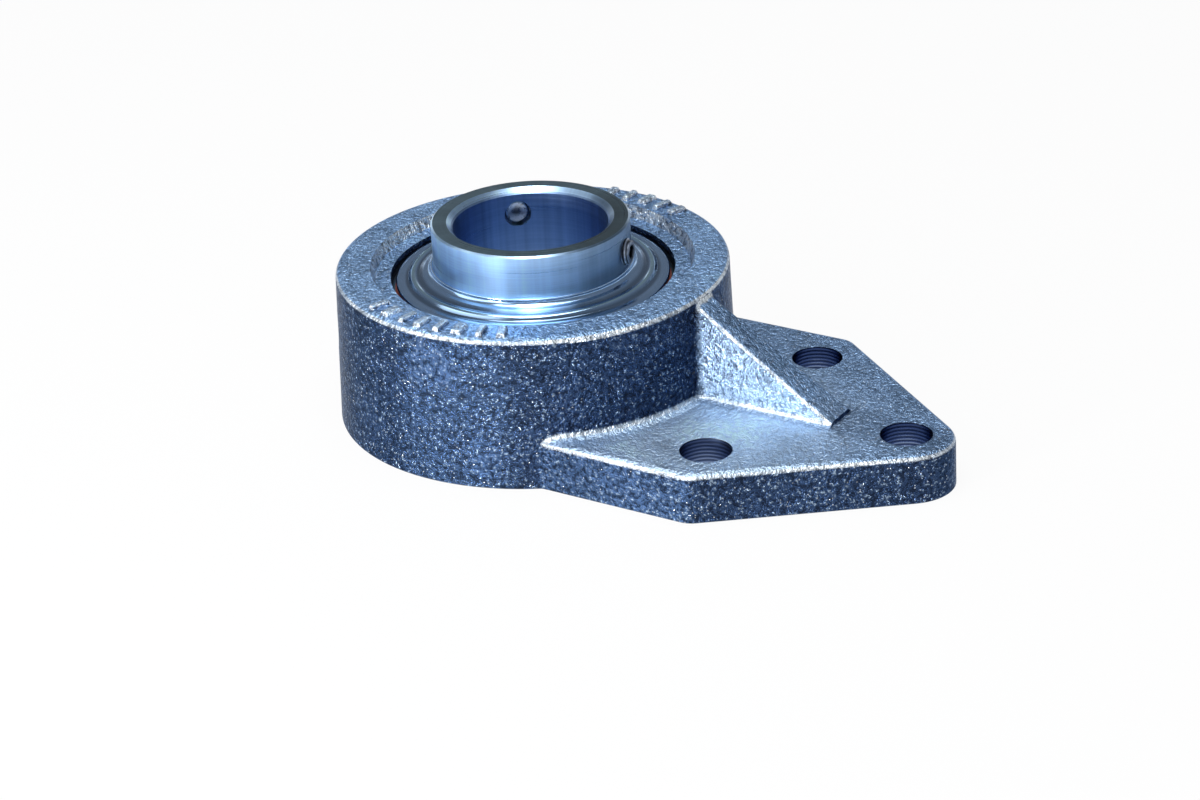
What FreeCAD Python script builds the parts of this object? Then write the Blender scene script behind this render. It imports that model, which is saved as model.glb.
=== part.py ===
import FreeCAD, Part
import math
import os
import re

import Sketcher
from FreeCAD import Placement, Rotation, Vector

# Three-bolt flange bracket unit with a self-aligning insert bearing for a 45 mm shaft.
# The origin is the bearing centre. The shaft runs along Z, and the bracket points to +X.
# Lengths are in millimetres and angles in degrees.

SIZES = [
    ("shaft_dia", "45", "bore of the inner ring"),
    ("collar_wall", "6.25", "wall of the inner ring and its collar"),
    ("collar_side", "30.2", "bearing centre to the collar end of the inner ring"),
    ("short_side", "19", "bearing centre to the other end of the inner ring"),
    ("bore_chamfer", "1.7", "chamfer at both ends of the inner ring's bore"),
    ("ring_edge", "0.5", "chamfer on the outer edges of the rings"),
    ("outer_ring_width", "22", "width of the outer ring"),
    ("ball_dia", "12.7", "bearing balls"),
    ("ball_count", "9", "balls in the row"),
    ("pitch_step", "3.75", "from the inner ring's outside to the circle of the ball centres"),
    ("race_radius", "6.6", "section radius of both raceways"),
    ("race_play", "0.02", "gap between a ball and each raceway"),
    ("shoulder_step", "3.9", "from the ball circle to the outer ring's inner shoulders"),
    ("outer_step", "10", "from the ball circle to the outer ring's spherical outside"),
    ("cage_sheet", "1", "sheet thickness of the cage halves"),
    ("cage_width", "5.2", "radial width of the cage ribbon"),
    ("pocket_gap", "0.12", "gap between a ball and its cage pocket"),
    ("rivet_dia", "1.8", "shank of a cage rivet"),
    ("rivet_head_dia", "3.2", "heads of a cage rivet"),
    ("rivet_head_height", "0.7", "height of a rivet head"),
    ("fit_gap", "0.02", "gap round pieces that are pressed or riveted in place"),
    ("seal_inset", "2.4", "from the outer ring's outside to the edge of the rubber seals"),
    ("seal_depth", "3", "depth of the seal's seat in the outer ring"),
    ("seal_bead", "1.8", "radial width of the seal's outer bead"),
    ("seal_web", "1.3", "thickness of the seal's web"),
    ("seal_web_top", "0.5", "drop from the ring's face to the top of the web"),
    ("seal_lip", "2", "radial width of the seal's lip"),
    ("seal_lip_gap", "0.12", "gap between the lip and the inner ring"),
    ("flinger_inset", "2.7", "from the outer ring's outside to the edge of the flingers"),
    ("flinger_sheet", "0.8", "sheet thickness of the flingers"),
    ("flinger_collar_top", "17.6", "bearing centre to the end of the flinger's sleeve"),
    ("flinger_shoulder", "15.9", "bearing centre to the flinger's inner shoulder"),
    ("flinger_ridge", "14.8", "bearing centre to the flinger's ridge"),
    ("flinger_flat", "13.6", "bearing centre to the flinger's outer flat"),
    ("flinger_rim", "12.7", "bearing centre to the rim of the flinger"),
    ("ridge_step", "2.5", "from the ball circle to the flinger's ridge"),
    ("screw_dia", "7.8", "set screws over their thread"),
    ("screw_length", "6.4", "length of a set screw"),
    ("screw_gap", "0.05", "gap round a set screw in its hole"),
    ("screw_from_end", "7.8", "collar end to the set screws' centre line"),
    ("screw_recess", "1.5", "from the bore's wall back to the tip of a set screw"),
    ("screw_spacing", "120", "angle between the two set screws"),
    ("screw_turn", "12.5", "angle of the first set screw from the bracket's axis"),
    ("socket_across", "4", "hexagon socket across its flats"),
    ("socket_depth", "3", "depth of the hexagon socket"),
    ("cup_dia", "5.8", "rim of a set screw's cup point"),
    ("cup_hollow_dia", "3.9", "hollow in the cup point"),
    ("cup_depth", "1", "depth of the hollow, and height of the point's cone"),
    ("centre_height", "27.3", "mounting face to the bearing centre"),
    ("rim_height", "45", "mounting face to the rim of the housing"),
    ("boss_dia", "114", "round boss of the housing at its rim"),
    ("wall_draft", "2", "casting draft of the boss's wall"),
    ("plate_draft", "1", "casting draft of the bracket's sides"),
    ("plate_thickness", "14.5", "bracket plate"),
    ("plate_inset", "7.7", "from the boss's side to the parallel sides of the bracket plate"),
    ("corner_radius", "7", "corners of the bracket plate"),
    ("tip_radius", "13.8", "round end of the bracket, about its bolt hole"),
    ("near_edge", "14.8", "near bolt holes to the slanting sides"),
    ("near_hole_x", "75.2", "bearing axis to the two near bolt holes"),
    ("near_hole_y", "33", "each near bolt hole from the middle plane"),
    ("tip_hole_x", "120", "bearing axis to the bolt hole in the tip"),
    ("bolt_hole_dia", "14.5", "bolt holes"),
    ("rib_width", "11.4", "rib's width where it meets the plate"),
    ("rib_draft", "3", "slope of the rib's sides"),
    ("rib_foot_x", "101.7", "bearing axis to where the line of the ridge meets the plate"),
    ("rib_end_x", "99.6", "bearing axis to the rib's blunt end"),
    ("rib_drop", "0.3", "from the rim's rounding down to the rib's ridge at the wall"),
    ("casting_fillet", "2.4", "fillets round the foot of the boss and up the rib's root"),
    ("foot_fillet", "2", "fillet along the rib's foot"),
    ("casting_round", "2", "rounding of the casting's outer edges"),
    ("ridge_round", "1.2", "rounding along the rib's ridge"),
    ("mouth_step", "4.5", "from the outer ring's outside to the housing's mouth at the rim"),
    ("mouth_floor_step", "3.2", "from the outer ring's outside to the edge of the mouth's floor"),
    ("mouth_depth", "3.4", "depth of the mouth below the rim"),
    ("lip_inset", "1.2", "from the outer ring's outside in to the housing's lips beside the seat"),
    ("lip_length", "14.4", "bearing centre to the back end of the seat's lip"),
    ("relief_step", "3.5", "from the outer ring's outside to the cored recess behind the bearing"),
    ("seat_gap", "0.05", "gap between outer ring and spherical seat"),
    ("slot_gap", "0.4", "play of the outer ring in the loading slots"),
    ("port_height", "0", "grease port above the bearing centre"),
    ("port_turn", "-147", "angle of the grease port from the bracket's axis"),
    ("port_dia", "5", "tapped hole of the grease port"),
    ("spot_face_dia", "14", "spot face round the grease port"),
    ("spot_face_depth", "1.1", "depth of the spot face"),
]

document = FreeCAD.newDocument("flange_bearing_unit")
sheet = document.addObject("Spreadsheet::Sheet", "dims")
for row, (alias, number, meaning) in enumerate(SIZES, start=1):
    sheet.set(f"A{row}", number)
    sheet.setAlias(f"A{row}", alias)
    sheet.set(f"B{row}", meaning)
document.recompute()

ALIASES = re.compile(r"\b(" + "|".join(alias for alias, _, _ in SIZES) + r")\b")


def linked(text):
    """An expression over the sheet's aliases, as other objects of the document write it."""
    return ALIASES.sub(r"dims.\1", text)


def size(text):
    """The present value of an expression over the sheet's aliases."""
    return float(sheet.evalExpression(text))


# Outlines that more than one piece uses
BASE = "(-centre_height)"
RIM = "(rim_height - centre_height)"
PLATE_TOP = "(plate_thickness - centre_height)"
BORE = "(shaft_dia / 2)"
COLLAR = f"({BORE} + collar_wall)"
PITCH = f"({COLLAR} + pitch_step)"
SHOULDER = f"({PITCH} + shoulder_step)"
OUTSIDE = f"({PITCH} + outer_step)"
SEAT = f"({OUTSIDE} + seat_gap)"
LIP = f"({OUTSIDE} - lip_inset)"
HALF_WIDTH = "(outer_ring_width / 2)"
SCREW_HEIGHT = "(collar_side - screw_from_end)"
BOSS = "(boss_dia / 2)"

# How near an edge's middle lies to a face that it is counted to, and how far past it others start
TOUCH = 0.01
WALL_TOUCH = 0.3
CLEAR = 1


def new_body(node):
    """An empty body whose label is the node's name."""
    body = document.addObject("PartDesign::Body", node)
    body.Label = node
    return body


def new_sketch(body, name, plane, lift=None):
    """A sketch on one of the body's own planes, lifted along the plane's normal."""
    sketch = body.newObject("Sketcher::SketchObject", name)
    planes = {origin.Role: origin for origin in body.Origin.OriginFeatures}
    sketch.AttachmentSupport = [(planes[plane], "")]
    sketch.MapMode = "FlatFace"
    if lift:
        sketch.setExpression("AttachmentOffset.Base.z", linked(lift))
    return sketch


def bind(sketch, constraint, name, text):
    """Add a constraint with a size, and tie the size to the sheet."""
    index = sketch.addConstraint(constraint)
    sketch.renameConstraint(index, name)
    sketch.setExpression(f"Constraints.{name}", linked(text))


def place_point(sketch, name, point, x, y):
    """Hold one point of a sketch at x, y, which are expressions over the sheet."""
    geometry, end = point
    if x == "0":
        sketch.addConstraint(Sketcher.Constraint("PointOnObject", geometry, end, -2))
    else:
        across = Sketcher.Constraint("DistanceX", -1, 1, geometry, end, size(x))
        bind(sketch, across, f"{name}_x", x)
    if y == "0":
        sketch.addConstraint(Sketcher.Constraint("PointOnObject", geometry, end, -1))
    else:
        along = Sketcher.Constraint("DistanceY", -1, 1, geometry, end, size(y))
        bind(sketch, along, f"{name}_y", y)


def arc_between(start, end, radius, side):
    """The short arc from start to end, with its centre on the given side of the way."""
    chord = end - start
    across = Vector(-chord.y, chord.x, 0).normalize()
    reach = math.sqrt(max(radius ** 2 - chord.Length ** 2 / 4, 0))
    centre = (start + end) * 0.5 + across * (reach if side == "left" else -reach)
    first, last = (start, end) if side == "left" else (end, start)
    angles = [math.atan2(point.y - centre.y, point.x - centre.x) for point in (first, last)]
    circle = Part.Circle(centre, Vector(0, 0, 1), radius)
    return Part.ArcOfCircle(circle, *angles)


def draw(sketch, outline):
    """Draw a closed outline of (x, y) corners; (x, y, radius, side) starts an arc."""
    spots = [Vector(size(corner[0]), size(corner[1]), 0) for corner in outline]
    ends = []
    for index, corner in enumerate(outline):
        start, end = spots[index], spots[(index + 1) % len(spots)]
        if len(corner) == 2:
            geometry = sketch.addGeometry(Part.LineSegment(start, end), False)
            ends.append(((geometry, 1), (geometry, 2)))
            continue
        radius, side = corner[2:]
        geometry = sketch.addGeometry(arc_between(start, end, size(radius), side), False)
        ends.append(((geometry, 1), (geometry, 2)) if side == "left" else ((geometry, 2), (geometry, 1)))
    for index, (_, last) in enumerate(ends):
        first = ends[(index + 1) % len(ends)][0]
        sketch.addConstraint(Sketcher.Constraint("Coincident", *last, *first))
    for index, corner in enumerate(outline):
        place_point(sketch, f"corner_{index}", ends[index][0], *corner[:2])
        if len(corner) > 2:
            round_stretch = Sketcher.Constraint("Radius", ends[index][0][0], size(corner[2]))
            bind(sketch, round_stretch, f"radius_{index}", corner[2])


def draw_circles(sketch, radius, centres):
    """Draw circles of one radius about the given centres."""
    for index, (x, y) in enumerate(centres):
        circle = Part.Circle(Vector(size(x), size(y), 0), Vector(0, 0, 1), size(radius))
        geometry = sketch.addGeometry(circle, False)
        place_point(sketch, f"centre_{index}", (geometry, 3), x, y)
        bind(sketch, Sketcher.Constraint("Radius", geometry, size(radius)), f"radius_{index}", radius)


def revolve(body, name, outline, kind="PartDesign::Revolution", axis="V_Axis", angle=360):
    """Turn an outline of the body's XZ plane about the sketch's axis."""
    sketch = new_sketch(body, f"{name}_section", "XZ_Plane")
    draw(sketch, outline)
    feature = body.newObject(kind, name)
    feature.Profile = sketch
    feature.ReferenceAxis = (sketch, [axis])
    feature.Angle = angle
    return feature


def lathe(node, outline):
    """A turned piece: one outline of (radius, height) corners revolved about Z."""
    body = new_body(node)
    revolve(body, f"{node}_turned", outline)
    return body


def pocket(body, name, sketch, depth=None, upward=False):
    """Cut a sketch down into the body, or up, by a depth or all the way through."""
    feature = body.newObject("PartDesign::Pocket", name)
    feature.Profile = sketch
    feature.Reversed = upward
    if depth:
        feature.setExpression("Length", linked(depth))
    else:
        feature.Type = "ThroughAll"
    return feature


def polar(body, name, originals, count, angle):
    """Repeat features about the body's Z axis."""
    pattern = body.newObject("PartDesign::PolarPattern", name)
    pattern.Originals = originals
    axes = {origin.Role: origin for origin in body.Origin.OriginFeatures}
    pattern.Axis = (axes["Z_Axis"], [""])
    pattern.Occurrences = count
    pattern.setExpression("Angle", linked(angle))
    body.Tip = pattern
    return pattern


def soften(body, name, test, radius):
    """Fillet every edge of the body's latest shape whose middle passes the test."""
    document.recompute()
    base = body.Tip
    chosen = []
    for index, edge in enumerate(base.Shape.Edges, start=1):
        if test(edge.valueAt((edge.FirstParameter + edge.LastParameter) / 2)):
            chosen.append(f"Edge{index}")
    feature = body.newObject("PartDesign::Fillet", name)
    feature.Base = (base, chosen)
    feature.setExpression("Radius", linked(radius))
    return feature


# Housing

SLANT = (
    "(atan(near_hole_y / (tip_hole_x - near_hole_x))"
    " - asin((tip_radius - near_edge) / sqrt((tip_hole_x - near_hole_x) ^ 2 + near_hole_y ^ 2)))"
)
PLATE_SIDE = f"({BOSS} - plate_inset)"
CORNER_X = f"(tip_hole_x + (tip_radius - {PLATE_SIDE} * cos({SLANT})) / sin({SLANT}))"
CORNER_RUN = f"(corner_radius * tan({SLANT} / 2))"


def plate_outline():
    """The bracket plate: parallel sides, then slanting ones that run into the round tip."""
    before = (f"{CORNER_X} - {CORNER_RUN}", PLATE_SIDE)
    after = (f"{CORNER_X} + {CORNER_RUN} * cos({SLANT})", f"({PLATE_SIDE} - {CORNER_RUN} * sin({SLANT}))")
    tangent = (f"tip_hole_x + tip_radius * sin({SLANT})", f"(tip_radius * cos({SLANT}))")
    return [
        ("0", f"-{PLATE_SIDE}"),
        (before[0], f"-{before[1]}", "corner_radius", "left"),
        (after[0], f"-{after[1]}"),
        (tangent[0], f"-{tangent[1]}", "tip_radius", "left"),
        tangent,
        (*after, "corner_radius", "left"),
        before,
        ("0", PLATE_SIDE),
    ]


def seat_outline():
    """Everything the casting is bored and cored out to: mouth, lips, seat and back recess."""
    seat_edge = f"sqrt({SEAT} ^ 2 - {LIP} ^ 2)"
    mouth_floor = f"({RIM} - mouth_depth)"
    relief = f"({OUTSIDE} + relief_step)"
    return [
        ("0", BASE),
        (relief, BASE),
        (relief, "-lip_length"),
        (LIP, "-lip_length"),
        (LIP, f"-{seat_edge}", SEAT, "left"),
        (LIP, seat_edge),
        (LIP, mouth_floor),
        (f"{OUTSIDE} + mouth_floor_step", mouth_floor),
        (f"{OUTSIDE} + mouth_step", RIM),
        ("0", RIM),
    ]


def make_housing():
    """The casting: boss, bracket plate and rib, then the cored and machined cuts."""
    body = new_body("housing")
    rib_root = f"({BOSS} - casting_fillet)"
    rib_top = f"({RIM} - casting_round - rib_drop)"
    rib_slope = f"(({rib_top} - {PLATE_TOP}) / (rib_foot_x - {BOSS}))"
    spread = "(casting_fillet * tan(rib_draft))"
    side, end = f"(rib_width / 2 + {spread})", f"(rib_foot_x + {spread})"
    footing = new_sketch(body, "rib_outline", "XY_Plane", f"{PLATE_TOP} - casting_fillet")
    draw(footing, [(rib_root, f"-{side}"), (end, f"-{side}"), (end, side), (rib_root, side)])
    rib = body.newObject("PartDesign::Pad", "rib")
    rib.Profile = footing
    rib.setExpression("Length", linked(f"{RIM} - {PLATE_TOP} + casting_fillet"))
    rib.setExpression("TaperAngle", "-dims.rib_draft")

    above = new_sketch(body, "ridge_line", "XZ_Plane")
    inner, outer = f"({rib_root} - casting_fillet)", f"({end} + casting_fillet)"
    draw(above, [
        (inner, f"{rib_top} - ({inner} - {BOSS}) * {rib_slope}"),
        (outer, f"{rib_top} - ({outer} - {BOSS}) * {rib_slope}"),
        (outer, f"{RIM} + casting_fillet"),
        (inner, f"{RIM} + casting_fillet"),
    ])
    ridge = pocket(body, "ridge", above)
    ridge.Midplane = True

    boss_foot = f"({BOSS} + rim_height * tan(wall_draft))"
    revolve(body, "boss", [("0", BASE), ("0", RIM), (f"-{BOSS}", RIM), (f"-{boss_foot}", BASE)])

    outline = new_sketch(body, "plate_outline", "XY_Plane", BASE)
    draw(outline, plate_outline())
    plate = body.newObject("PartDesign::Pad", "plate")
    plate.Profile = outline
    plate.setExpression("Length", "dims.plate_thickness")
    plate.setExpression("TaperAngle", "-dims.plate_draft")

    rim, plate_top, base, rounding = size(RIM), size(PLATE_TOP), size(BASE), size("casting_round")
    boss_radius, rib_half, foot = size(BOSS), size("rib_width / 2"), size("rib_foot_x")
    wall_slope, rib_lean = size("tan(wall_draft)"), size("tan(rib_draft)")

    def on_wall(middle):
        """Whether a point lies on the boss's drafted wall."""
        wall = boss_radius + (rim - middle.z) * wall_slope
        return abs(math.hypot(middle.x, middle.y) - wall) < WALL_TOUCH

    def on_outer_edge(middle):
        """The rim's outer edge and the upper edge round the plate."""
        on_rim = abs(middle.z - rim) < TOUCH
        on_plate = abs(middle.z - plate_top) < TOUCH and not on_wall(middle)
        return on_rim or (on_plate and (abs(middle.y) > rib_half + CLEAR or middle.x > foot + CLEAR))

    def on_ridge(middle):
        """The two edges along the rib's ridge."""
        side_there = rib_half - (middle.z - plate_top) * rib_lean
        on_side = abs(abs(middle.y) - side_there) < TOUCH
        return on_side and middle.z > plate_top + CLEAR and not on_wall(middle)

    def on_foot(middle):
        """Where the rib runs into the plate."""
        by_rib = abs(middle.y) < rib_half + TOUCH and boss_radius < middle.x < foot + TOUCH
        return by_rib and abs(middle.z - plate_top) < TOUCH

    def in_corner(middle):
        """Where the plate and the rib run into the boss."""
        return on_wall(middle) and middle.x > 0 and base + CLEAR < middle.z < rim - rounding - TOUCH

    soften(body, "edge_rounding", on_outer_edge, "casting_round")
    soften(body, "ridge_rounding", on_ridge, "ridge_round")
    soften(body, "foot_fillets", on_foot, "foot_fillet")
    soften(body, "corner_fillets", in_corner, "casting_fillet")
    toe = new_sketch(body, "toe_outline", "XZ_Plane")
    beyond = "(rib_foot_x + casting_fillet)"
    draw(toe, [("rib_end_x", PLATE_TOP), (beyond, PLATE_TOP), (beyond, RIM), ("rib_end_x", RIM)])
    blunt_end = pocket(body, "blunt_end", toe)
    blunt_end.Midplane = True

    revolve(body, "bored_seat", seat_outline(), kind="PartDesign::Groove")
    circles = new_sketch(body, "bolt_circles", "XY_Plane")
    near = [("near_hole_x", "near_hole_y"), ("near_hole_x", "-near_hole_y")]
    draw_circles(circles, "bolt_hole_dia / 2", near + [("tip_hole_x", "0")])
    pocket(body, "bolt_holes", circles)

    slot = new_sketch(body, "slot_outline", "XY_Plane", BASE)
    wide, long = f"({HALF_WIDTH} + slot_gap)", f"({OUTSIDE} + slot_gap)"
    draw(slot, [(f"-{wide}", f"-{long}"), (wide, f"-{long}"), (wide, long), (f"-{wide}", long)])
    pocket(body, "loading_slots", slot, "centre_height", upward=True)

    turn = Rotation(Vector(0, 0, 1), size("port_turn"))
    outward = turn.multVec(Vector(1, 0, 0))
    radial = turn.multiply(Rotation(Vector(0, 1, 0), 90))
    wall = size(f"{BOSS} + ({RIM} - port_height) * tan(wall_draft)")
    for name, diameter, start in (
        ("grease_port", "port_dia", size(SEAT) - CLEAR),
        ("spot_face", "spot_face_dia", wall - size("spot_face_depth")),
    ):
        drill = body.newObject("PartDesign::SubtractiveCylinder", name)
        drill.setExpression("Radius", linked(f"{diameter} / 2"))
        drill.setExpression("Height", "dims.boss_dia / 4")
        drill.Placement = Placement(outward * start + Vector(0, 0, size("port_height")), radial)
    return body


# Rings

def make_outer_ring():
    """The outer ring: spherical outside, one raceway and a seat for each seal."""
    race_centre = f"({PITCH} + ball_dia / 2 + race_play - race_radius)"
    race_half = f"sqrt(race_radius ^ 2 - ({SHOULDER} - {race_centre}) ^ 2)"
    edge_height = f"({HALF_WIDTH} - ring_edge)"
    edge = f"sqrt({OUTSIDE} ^ 2 - {edge_height} ^ 2)"
    face = f"({edge} - ring_edge)"
    seal_seat = f"({OUTSIDE} - seal_inset + fit_gap)"
    seal_floor = f"({HALF_WIDTH} - seal_depth - fit_gap)"
    return lathe("outer_ring", [
        (seal_seat, f"-{HALF_WIDTH}"),
        (face, f"-{HALF_WIDTH}"),
        (edge, f"-{edge_height}", OUTSIDE, "left"),
        (edge, edge_height),
        (face, HALF_WIDTH),
        (seal_seat, HALF_WIDTH),
        (seal_seat, seal_floor),
        (SHOULDER, seal_floor),
        (SHOULDER, race_half, "race_radius", "right"),
        (SHOULDER, f"-{race_half}"),
        (SHOULDER, f"-{seal_floor}"),
        (seal_seat, f"-{seal_floor}"),
    ])


def make_inner_ring():
    """The wide inner ring, with its raceway and two tapped holes in the collar."""
    race_centre = f"({PITCH} - ball_dia / 2 - race_play + race_radius)"
    race_half = f"sqrt(race_radius ^ 2 - ({race_centre} - {COLLAR}) ^ 2)"
    body = lathe("inner_ring", [
        (f"{BORE} + bore_chamfer", "-short_side"),
        (f"{COLLAR} - ring_edge", "-short_side"),
        (COLLAR, "-short_side + ring_edge"),
        (COLLAR, f"-{race_half}", "race_radius", "right"),
        (COLLAR, race_half),
        (COLLAR, "collar_side - ring_edge"),
        (f"{COLLAR} - ring_edge", "collar_side"),
        (f"{BORE} + bore_chamfer", "collar_side"),
        (BORE, "collar_side - bore_chamfer"),
        (BORE, "-short_side + bore_chamfer"),
    ])
    circle = new_sketch(body, "screw_circle", "YZ_Plane")
    draw_circles(circle, "screw_dia / 2 + screw_gap", [("0", SCREW_HEIGHT)])
    hole = pocket(body, "screw_hole", circle, upward=True)
    polar(body, "screw_holes", [hole], 2, "screw_spacing")
    body.Placement = Placement(Vector(), Rotation(Vector(0, 0, 1), size("screw_turn")))
    return body


# Balls and cage

def make_ball(number):
    """One ball on the pitch circle."""
    ball = document.addObject("Part::Sphere", f"ball_{number}")
    ball.Label = f"ball_{number}"
    ball.setExpression("Radius", "dims.ball_dia / 2")
    angle = f"{number - 1} * 360 / ball_count"
    ball.setExpression("Placement.Base.x", linked(f"{PITCH} * cos({angle})"))
    ball.setExpression("Placement.Base.y", linked(f"{PITCH} * sin({angle})"))
    return ball


def make_cage_half(node, upside_down):
    """One stamped half of the ribbon cage: a flat ring with a domed pocket over each ball."""
    inside, outside = f"({PITCH} - cage_width / 2)", f"({PITCH} + cage_width / 2)"
    pocket_radius = "(ball_dia / 2 + pocket_gap)"
    dome_radius = f"({pocket_radius} + cage_sheet)"
    pocket_height = f"sqrt({pocket_radius} ^ 2 - (cage_width / 2) ^ 2)"
    dome_height = f"sqrt({dome_radius} ^ 2 - (cage_width / 2) ^ 2)"
    body = lathe(node, [(inside, "0"), (outside, "0"), (outside, "cage_sheet"), (inside, "cage_sheet")])
    dome = revolve(body, "dome", [
        (inside, pocket_height, pocket_radius, "right"),
        (outside, pocket_height),
        (outside, dome_height, dome_radius, "left"),
        (inside, dome_height),
    ], axis="H_Axis", angle=180)
    dome.Midplane = True
    clearance = revolve(body, "clearance", [
        (f"{inside} - cage_sheet", "0"),
        (f"{outside} + cage_sheet", "0"),
        (f"{outside} + cage_sheet", pocket_height),
        (outside, pocket_height, pocket_radius, "left"),
        (inside, pocket_height),
        (f"{inside} - cage_sheet", pocket_height),
    ], kind="PartDesign::Groove", axis="H_Axis")
    count = int(size("ball_count"))
    pockets = polar(body, "pockets", [dome, clearance], count, "360")
    circle = new_sketch(body, "rivet_circle", "XY_Plane")
    half_step = "180 / ball_count"
    between = (f"{PITCH} * cos({half_step})", f"{PITCH} * sin({half_step})")
    draw_circles(circle, "rivet_dia / 2 + fit_gap", [between])
    hole = pocket(body, "rivet_hole", circle, upward=True)
    polar(body, "rivet_holes", [hole], count, "360")
    if upside_down:
        body.Placement = Placement(Vector(), Rotation(Vector(1, 0, 0), 180))
    return body


def make_rivets():
    """The rivets of the cage, one between each two pockets."""
    reach = size("cage_sheet + fit_gap")
    head_height = size("rivet_head_height")
    pitch, count = size(PITCH), int(size("ball_count"))
    shank = Part.makeCylinder(size("rivet_dia / 2"), 2 * reach, Vector(pitch, 0, -reach))
    heads = [
        Part.makeCylinder(size("rivet_head_dia / 2"), head_height, Vector(pitch, 0, reach)),
        Part.makeCylinder(size("rivet_head_dia / 2"), head_height, Vector(pitch, 0, -reach - head_height)),
    ]
    rivet = shank.fuse(heads)
    rivets = []
    for number in range(count):
        copy = rivet.copy()
        copy.rotate(Vector(), Vector(0, 0, 1), (number + 0.5) * 360 / count)
        rivets.append(copy)
    group = document.addObject("Part::Feature", "cage_rivets")
    group.Label = "cage_rivets"
    group.Shape = Part.makeCompound(rivets)
    return group


# Seals and flingers

def make_seal(node, upside_down):
    """A rubber seal: a bead in the outer ring, a web and a lip beside the inner ring."""
    foot = f"({HALF_WIDTH} - seal_depth)"
    web_top = f"({HALF_WIDTH} - seal_web_top)"
    web_foot = f"({web_top} - seal_web)"
    seal_edge = f"({OUTSIDE} - seal_inset)"
    bead = f"({seal_edge} - seal_bead)"
    lip = f"({COLLAR} + seal_lip_gap)"
    body = lathe(node, [
        (bead, foot),
        (seal_edge, foot),
        (seal_edge, HALF_WIDTH),
        (bead, HALF_WIDTH),
        (bead, web_top),
        (f"{lip} + seal_lip", web_top),
        (lip, HALF_WIDTH),
        (lip, foot),
        (f"{lip} + seal_lip", web_foot),
        (bead, web_foot),
    ])
    if upside_down:
        body.Placement = Placement(Vector(), Rotation(Vector(1, 0, 0), 180))
    return body


def make_flinger(node, upside_down):
    """A pressed flinger on the inner ring: a sleeve and a stepped disc over the seal."""
    sleeve = f"({COLLAR} + fit_gap)"
    outside, ridge = f"({OUTSIDE} - flinger_inset)", f"({PITCH} + ridge_step)"
    sheet_side = f"({sleeve} + flinger_sheet)"
    body = lathe(node, [
        (sleeve, "flinger_shoulder - 2 * flinger_sheet"),
        (f"{sheet_side} + flinger_sheet", "flinger_shoulder - 2 * flinger_sheet"),
        (f"{ridge} - flinger_sheet", "flinger_ridge - flinger_sheet"),
        (f"{ridge} + flinger_sheet", "flinger_flat - flinger_sheet"),
        (f"{outside} - flinger_sheet", "flinger_flat - flinger_sheet"),
        (f"{outside} - flinger_sheet", "flinger_rim"),
        (outside, "flinger_rim"),
        (outside, "flinger_flat - flinger_sheet / 2"),
        (f"{outside} - flinger_sheet / 2", "flinger_flat"),
        (f"{ridge} + 1.5 * flinger_sheet", "flinger_flat"),
        (f"{ridge} + flinger_sheet / 2", "flinger_ridge"),
        (f"{ridge} - flinger_sheet", "flinger_ridge"),
        (f"{sheet_side} + flinger_sheet", "flinger_shoulder"),
        (sheet_side, "flinger_shoulder + flinger_sheet"),
        (sheet_side, "flinger_collar_top"),
        (sleeve, "flinger_collar_top"),
    ])
    if upside_down:
        body.Placement = Placement(Vector(), Rotation(Vector(1, 0, 0), 180))
    return body


# Set screws

def make_set_screw(node, turn):
    """A cup-point set screw with a hexagon socket, along its own Z and then laid radially."""
    body = new_body(node)
    revolve(body, "shank", [
        ("0", "cup_depth"),
        ("cup_hollow_dia / 2", "0"),
        ("cup_dia / 2", "0"),
        ("screw_dia / 2", "cup_depth"),
        ("screw_dia / 2", "screw_length - ring_edge"),
        ("screw_dia / 2 - ring_edge", "screw_length"),
        ("0", "screw_length"),
    ])
    hexagon = new_sketch(body, "socket_outline", "XY_Plane", "screw_length")
    corner = "(socket_across / sqrt(3))"
    half_corner = "(socket_across / sqrt(12))"
    half_flat = "(socket_across / 2)"
    draw(hexagon, [
        (corner, "0"),
        (half_corner, half_flat),
        (f"-{half_corner}", half_flat),
        (f"-{corner}", "0"),
        (f"-{half_corner}", f"-{half_flat}"),
        (half_corner, f"-{half_flat}"),
    ])
    pocket(body, "socket", hexagon, "socket_depth")
    azimuth = Rotation(Vector(0, 0, 1), turn)
    start = azimuth.multVec(Vector(size(f"{BORE} + screw_recess"), 0, size(SCREW_HEIGHT)))
    body.Placement = Placement(start, azimuth.multiply(Rotation(Vector(0, 1, 0), 90)))
    return body


make_housing()
make_outer_ring()
make_inner_ring()
for ball_number in range(1, int(size("ball_count")) + 1):
    make_ball(ball_number)
make_cage_half("cage_upper", False)
make_cage_half("cage_lower", True)
make_rivets()
make_seal("seal_upper", False)
make_seal("seal_lower", True)
make_flinger("flinger_upper", False)
make_flinger("flinger_lower", True)
make_set_screw("set_screw_1", size("screw_turn"))
make_set_screw("set_screw_2", size("screw_turn + screw_spacing"))
document.recompute()

for item in document.Objects:
    if {"Invalid", "Error"} & set(item.State):
        raise RuntimeError(f"{item.Name} did not build: {item.State}")

os.makedirs("parts", exist_ok=True)
NODES = ("PartDesign::Body", "Part::Sphere", "Part::Feature")
for item in document.Objects:
    if item.TypeId not in NODES:
        continue
    if item.Shape.isNull() or not item.Shape.isValid():
        raise RuntimeError(f"{item.Label} has no sound shape")
    item.Shape.exportStep(f"parts/{item.Label}.step")
    print(f"{item.Label}: {len(item.Shape.Solids)} solid, {item.Shape.Volume:.1f} mm3")
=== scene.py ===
"""Looks of the flange bearing unit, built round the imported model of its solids."""

import logging
import math
from dataclasses import dataclass
from enum import Enum
from typing import Callable, Iterable, Union

import bpy
from mathutils import Matrix, Vector


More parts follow.
